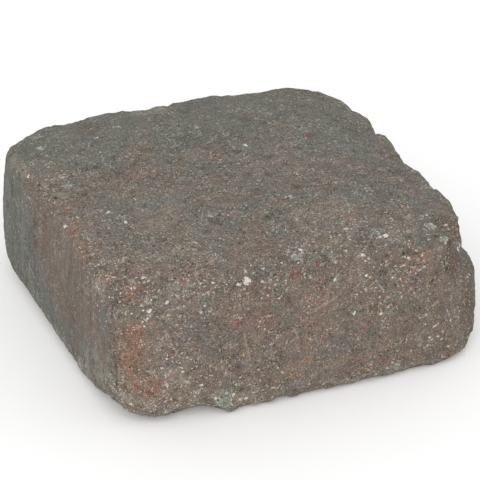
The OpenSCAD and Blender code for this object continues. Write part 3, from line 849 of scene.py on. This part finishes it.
# Concrete: a body colour, other colours laid over it by their masks times their strengths, all multiplied
# by one plus the sand's shading before the lines and crumbs go on
def concreteMaterial():
    material, start = newMaterial("tumbledConcrete")
    colours = {name: screen(*values) for name, values in concrete["colours"].items()}
    ends = concrete["ends"]
    place = start.make("ShaderNodeTexCoord", out="Object")
    mm = start.make("ShaderNodeVectorMath", {"operation": "SCALE"}, {0: place, "Scale": 1.0 / millimetre})

    # one of the piece's masks
    def attribute(name):
        return start.make("ShaderNodeAttribute", {"attribute_name": name}, out="Fac")

    # coordinates in mm, stretched and then moved
    def shifted(shift, stretch):
        sockets = {0: mm, "Location": (shift, shift * 0.7, -shift), "Scale": stretch}
        return start.make("ShaderNodeMapping", {}, sockets)

    # noise less a half, so that it swings round nought
    def noise(size, detail, roughness, shift, stretch=(1.0, 1.0, 1.0)):
        sockets = {"Vector": shifted(shift, stretch), "Scale": 1.0 / size}
        sockets |= {"Detail": detail, "Roughness": roughness}
        return start.make("ShaderNodeTexNoise", {"noise_dimensions": "3D"}, sockets) - 0.5

    # cells of a size: distance to the nearest middle in cell widths, and two random numbers of that cell
    def cells(size, shift, stretch):
        settings = {"voronoi_dimensions": "3D", "feature": "F1"}
        sockets = {"Vector": shifted(shift, stretch), "Scale": 1.0 / size}
        away = start.make("ShaderNodeTexVoronoi", settings, sockets, "Distance")
        split = start.make("ShaderNodeSeparateColor", {}, {0: away.also("Color")}, 0)
        return away, split, split.also(1)

    # flecks: a share of the cells, each filled out to its own ragged reach, some fainter than others
    def flecks(size, share, reach, shift, uneven, stretch=(0.8, 1.0, 1.0)):
        away, first, second = cells(size, shift, stretch)
        fine = noise(size * concrete["fleckGrain"], 1.0, 0.5, shift + concrete["fleckShift"])
        out = (away + uneven * fine) / (reach * (concrete["fleckLeast"] + second))
        picked = (share - first).rise(*ends["pick"])
        faint = concrete["fleckFaint"]
        return (1.0 - out.rise(*ends["fleck"])) * picked * (faint + (1.0 - faint) / share * first)

    noises = {name: noise(*values) for name, values in concrete["noises"].items()}
    middle, small, grain, ragged = (noises[name] for name in ("middle", "small", "grain", "ragged"))
    sandTone, sandPick = cells(*concrete["sand"])[1:]
    leftFace = attribute("leftFace")
    frontFace = attribute("frontFace")
    crumbMask = attribute("crumbs")

    # the body with a colour laid over it, by a mask times the colour's strength
    def over(body, mask, name):
        strength, colour = concrete["covers"][name]
        return (mask * strength).mix(body, colours[colour])

    # a listed patch, broken up: its mask plus the gain times the mask times two noises' sum
    def patched(name):
        first, second, gain, low, high = concrete["patchLook"][name]
        mask = attribute(name)
        return (mask + gain * mask * (noises[first] + noises[second])).rise(low, high)

    # listed spots, made ragged by a noise
    def spotted(name):
        uneven, low, high = concrete["dotLook"][name]
        return (attribute(name) + uneven * ragged).rise(low, high)

    # fine lines where a noise crosses nought, in the stretches where another one is high
    def crossed(name):
        thin, rim, low, high = concrete["lines"][name]
        line = 1.0 - start.math("ABSOLUTE", noises[name]).rise(thin, rim)
        return line * noises[name + "Run"].rise(low, high)

    # body: grey green to grey brown in soft blotches, redder on the front
    browner = (noises["hue"] + concrete["frontHue"] * frontFace).rise(*ends["hue"])
    body = browner.mix(colours["greyGreen"], colours["greyBrown"])
    body = over(body, noises["ochre"].rise(*ends["ochre"]), "ochre")
    body = over(body, (noises["red"] + concrete["frontRed"] * frontFace).rise(*ends["red"]), "red")

    # left face: grey to the back and the foot, brown to the front and the crest, in soft upright bands
    along = start.make("ShaderNodeSeparateXYZ", {}, {0: mm}, 1)
    drift = along + concrete["wallFrom"] - concrete["wallLean"] * along.also(2)
    brown = concrete["wallStart"] - concrete["wallFade"] * drift + concrete["wallBands"] * noises["bands"]
    wall = brown.rise(*ends["wall"]).mix(colours["wallGrey"], colours["wallBrown"])
    body = (leftFace * concrete["wallCover"]).mix(body, wall)

    # patches, painted light and painted shadow among them, then stones under the skin, plainer on the
    # front; slate lies over them
    for name in ("moss", "chalkAndPaintedLight", "bloomAndFootLight", "shade", "rose", "rust"):
        body = over(body, patched(name), name)
    show = concrete["stoneShow"] + concrete["stoneFront"] * frontFace
    show = show * (1.0 - concrete["stoneLeft"] * leftFace)
    for colour, values in concrete["stones"].items():
        body = (flecks(*values) * show).mix(body, colours[colour])
    body = over(body, patched("slate"), "slate")

    # stones in the mix: pale green and brick red
    strewn = {name: flecks(*values) for name, values in concrete["flecks"].items()}
    body = over(body, strewn["greenStones"], "greenStones")
    body = over(body, spotted("greenDots"), "greenDots")
    body = over(body, strewn["redStones"], "redStones")
    body = over(body, spotted("redDots"), "redDots")

    # sand: some grains are lit and some sunk, over finer and coarser shading
    tones = concrete["tones"]
    calm = 1.0 - concrete["calmLeft"] * leftFace * (1.0 - attribute("wear"))
    calm = calm - concrete["calmMoss"] * attribute("moss")
    patchy = noises["patchy"].rise(*ends["patchy"])
    lit = concrete["litLeast"] + (1.0 - concrete["litLeast"]) * patchy
    lit = lit * sandTone.rise(*ends["lit"])
    sunk = sandPick.rise(*ends["sunk"])
    fine = tones["grain"] * grain + tones["lit"] * lit - tones["sunk"] * sunk - tones["level"]
    fine = fine + tones["small"] * small + tones["middle"] * middle
    tone = fine * calm + tones["broad"] * noises["broad"] + tones["streak"] * leftFace * noises["streak"]
    red = 1.0 + concrete["redStep"] * tone
    blue = 1.0 + concrete["blueStep"] * tone + concrete["yellowStep"] * noises["yellow"]
    shade = start.make("ShaderNodeCombineColor", {}, {0: red, 1: 1.0 + tone, 2: blue})
    settings = {"data_type": "RGBA", "blend_type": "MULTIPLY"}
    body = start.make("ShaderNodeMix", settings, {0: 1.0, 6: body, 7: shade}, 2)

    # pale threads and dark cracks
    broken = concrete["threadShow"] + concrete["threadRagged"] * ragged
    body = over(body, crossed("thread") * broken, "thread")
    body = over(body, crossed("crack"), "crack")

    # scratches and the painted shadow of the creases: distance to the nearest point of a straight line,
    # against its half width
    for begin, end, half, strength, colour in concrete["scratches"]:
        way = Vector(end) - Vector(begin)
        step = way / way.length_squared
        off = start.make("ShaderNodeVectorMath", {"operation": "SUBTRACT"}, {0: mm, 1: begin})
        share = start.make("ShaderNodeVectorMath", {"operation": "DOT_PRODUCT"}, {0: off, 1: step}, 1)
        reached = start.math("MINIMUM", start.math("MAXIMUM", share, 0.0), 1.0)
        foot = start.make("ShaderNodeVectorMath", {"operation": "SCALE"}, {0: tuple(way), "Scale": reached})
        gap = start.make("ShaderNodeVectorMath", {"operation": "DISTANCE"}, {0: off, 1: foot}, 1)
        line = 1.0 - (gap / half + concrete["scratchRagged"] * ragged).rise(*ends["scratch"])
        body = (line * strength).mix(body, colours[colour])

    # crumbs: small cream ones everywhere, pale ones in clusters, a few large; then dark holes, the pits and
    # the dark spots, painted dark as the shade inside them
    cluster = (crumbMask + concrete["clusterGain"] * noises["cluster"]).rise(*ends["cluster"])
    speckLeast, paleLeast = concrete["speckLeast"], concrete["paleLeast"]
    crumbs = {
        "speck": strewn["speck"] * (speckLeast + (1.0 - speckLeast) * cluster),
        "chunks": strewn["chunks"] * (crumbMask + noises["chunk"]).rise(*ends["chunk"]),
        "pale": strewn["pale"] * (paleLeast + (1.0 - paleLeast) * cluster),
        "large": strewn["large"] * cluster,
        "runs": strewn["runs"] * leftFace,
        "paleDots": spotted("paleDots"),
        "dark": strewn["dark"],
        "pit": attribute("pit"),
        "darkDots": spotted("darkDots"),
    }
    for name, mask in crumbs.items():
        body = over(body, mask, name)

    heights = concrete["heights"]
    height = heights["grain"] * grain + heights["sand"] * sandTone + heights["small"] * small
    for name in ("pale", "paleDots", "dark", "darkDots"):
        height = height + heights[name] * crumbs[name]
    sockets = {"Strength": concrete["bumpStrength"], "Distance": concrete["bumpDistance"], "Height": height}
    bump = start.make("ShaderNodeBump", {}, sockets)
    roughness = concrete["roughness"] + concrete["roughGrain"] * grain
    sockets = {"Base Color": body, "Roughness": roughness, "Normal": bump}
    sockets |= {"Specular IOR Level": concrete["gloss"]}
    shader = start.make("ShaderNodeBsdfPrincipled", {}, sockets)
    start.make("ShaderNodeOutputMaterial", {}, {"Surface": shader})
    return material


stonePiece.data.materials.append(concreteMaterial())
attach(stonePiece, "root")
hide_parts("paving_stone")
print("concrete on the stone")

# Stage, in metres: a pale floor under even light, with one wide soft lamp
stageSet = {
    "floorSize": 8.0,
    "floorHeight": -0.0002,  # a hair under the bed
    "floorColour": (0.92, 0.92, 0.92, 1.0),
    "floorRoughness": 0.9,
    "floorLift": 0.13,  # added for what the camera sees, so that the lit floor is white
    "skyLevel": 0.80,  # of the light; what the camera sees is whole white
    "lampSize": 2.4,
    "lampPower": 42.0,  # watts
    "lampPlace": (-1.2, -2.2, 2.6),
}


# 1 for what the camera sees, straight or in gloss or glass: the highest of three outputs of Light Path
def seenRay(start):
    camera = start.make("ShaderNodeLightPath", out="Is Camera Ray")
    glossy = camera.also("Is Glossy Ray")
    through = camera.also("Is Transmission Ray")
    return start.math("MAXIMUM", camera, start.math("MAXIMUM", glossy, through))


# Floor, sky and lamp: the floor's glow is its lift times seenRay, the sky's level its own plus the rest of
# one times seenRay
def addStage():
    half = stageSet["floorSize"] / 2
    low = stageSet["floorHeight"]
    corners = [(-half, -half, low), (half, -half, low), (half, half, low), (-half, half, low)]
    mesh = bpy.data.meshes.new("paleFloor")
    mesh.from_pydata(corners, [], [(0, 1, 2, 3)])
    floor = putIn("paleFloor", mesh)
    material, start = newMaterial("paleFloor")
    lift = stageSet["floorLift"]
    glow = seenRay(start).mix((0.0, 0.0, 0.0, 1.0), (lift, lift, lift, 1.0))
    sockets = {"Base Color": stageSet["floorColour"], "Roughness": stageSet["floorRoughness"]}
    sockets |= {"Specular IOR Level": 0.0, "Emission Strength": 1.0, "Emission Color": glow}
    shader = start.make("ShaderNodeBsdfPrincipled", {}, sockets)
    start.make("ShaderNodeOutputMaterial", {}, {"Surface": shader})
    mesh.materials.append(material)

    world = bpy.data.worlds.new("evenSky")
    bpy.context.scene.world = world
    world.use_nodes = True
    world.node_tree.nodes.clear()
    start = Wire(world.node_tree)
    level = stageSet["skyLevel"] + (1.0 - stageSet["skyLevel"]) * seenRay(start)
    sky = start.make("ShaderNodeBackground", {}, {"Color": (1.0, 1.0, 1.0, 1.0), "Strength": level})
    start.make("ShaderNodeOutputWorld", {}, {"Surface": sky})

    data = bpy.data.lights.new("softLamp", "AREA")
    data.size = stageSet["lampSize"]
    data.energy = stageSet["lampPower"]
    lamp = putIn("softLamp", data)
    lamp.location = stageSet["lampPlace"]
    lamp.rotation_euler = Vector(stageSet["lampPlace"]).to_track_quat("Z", "Y").to_euler()


addStage()
bpy.context.scene.view_settings.view_transform = "Standard"
print("stage set")
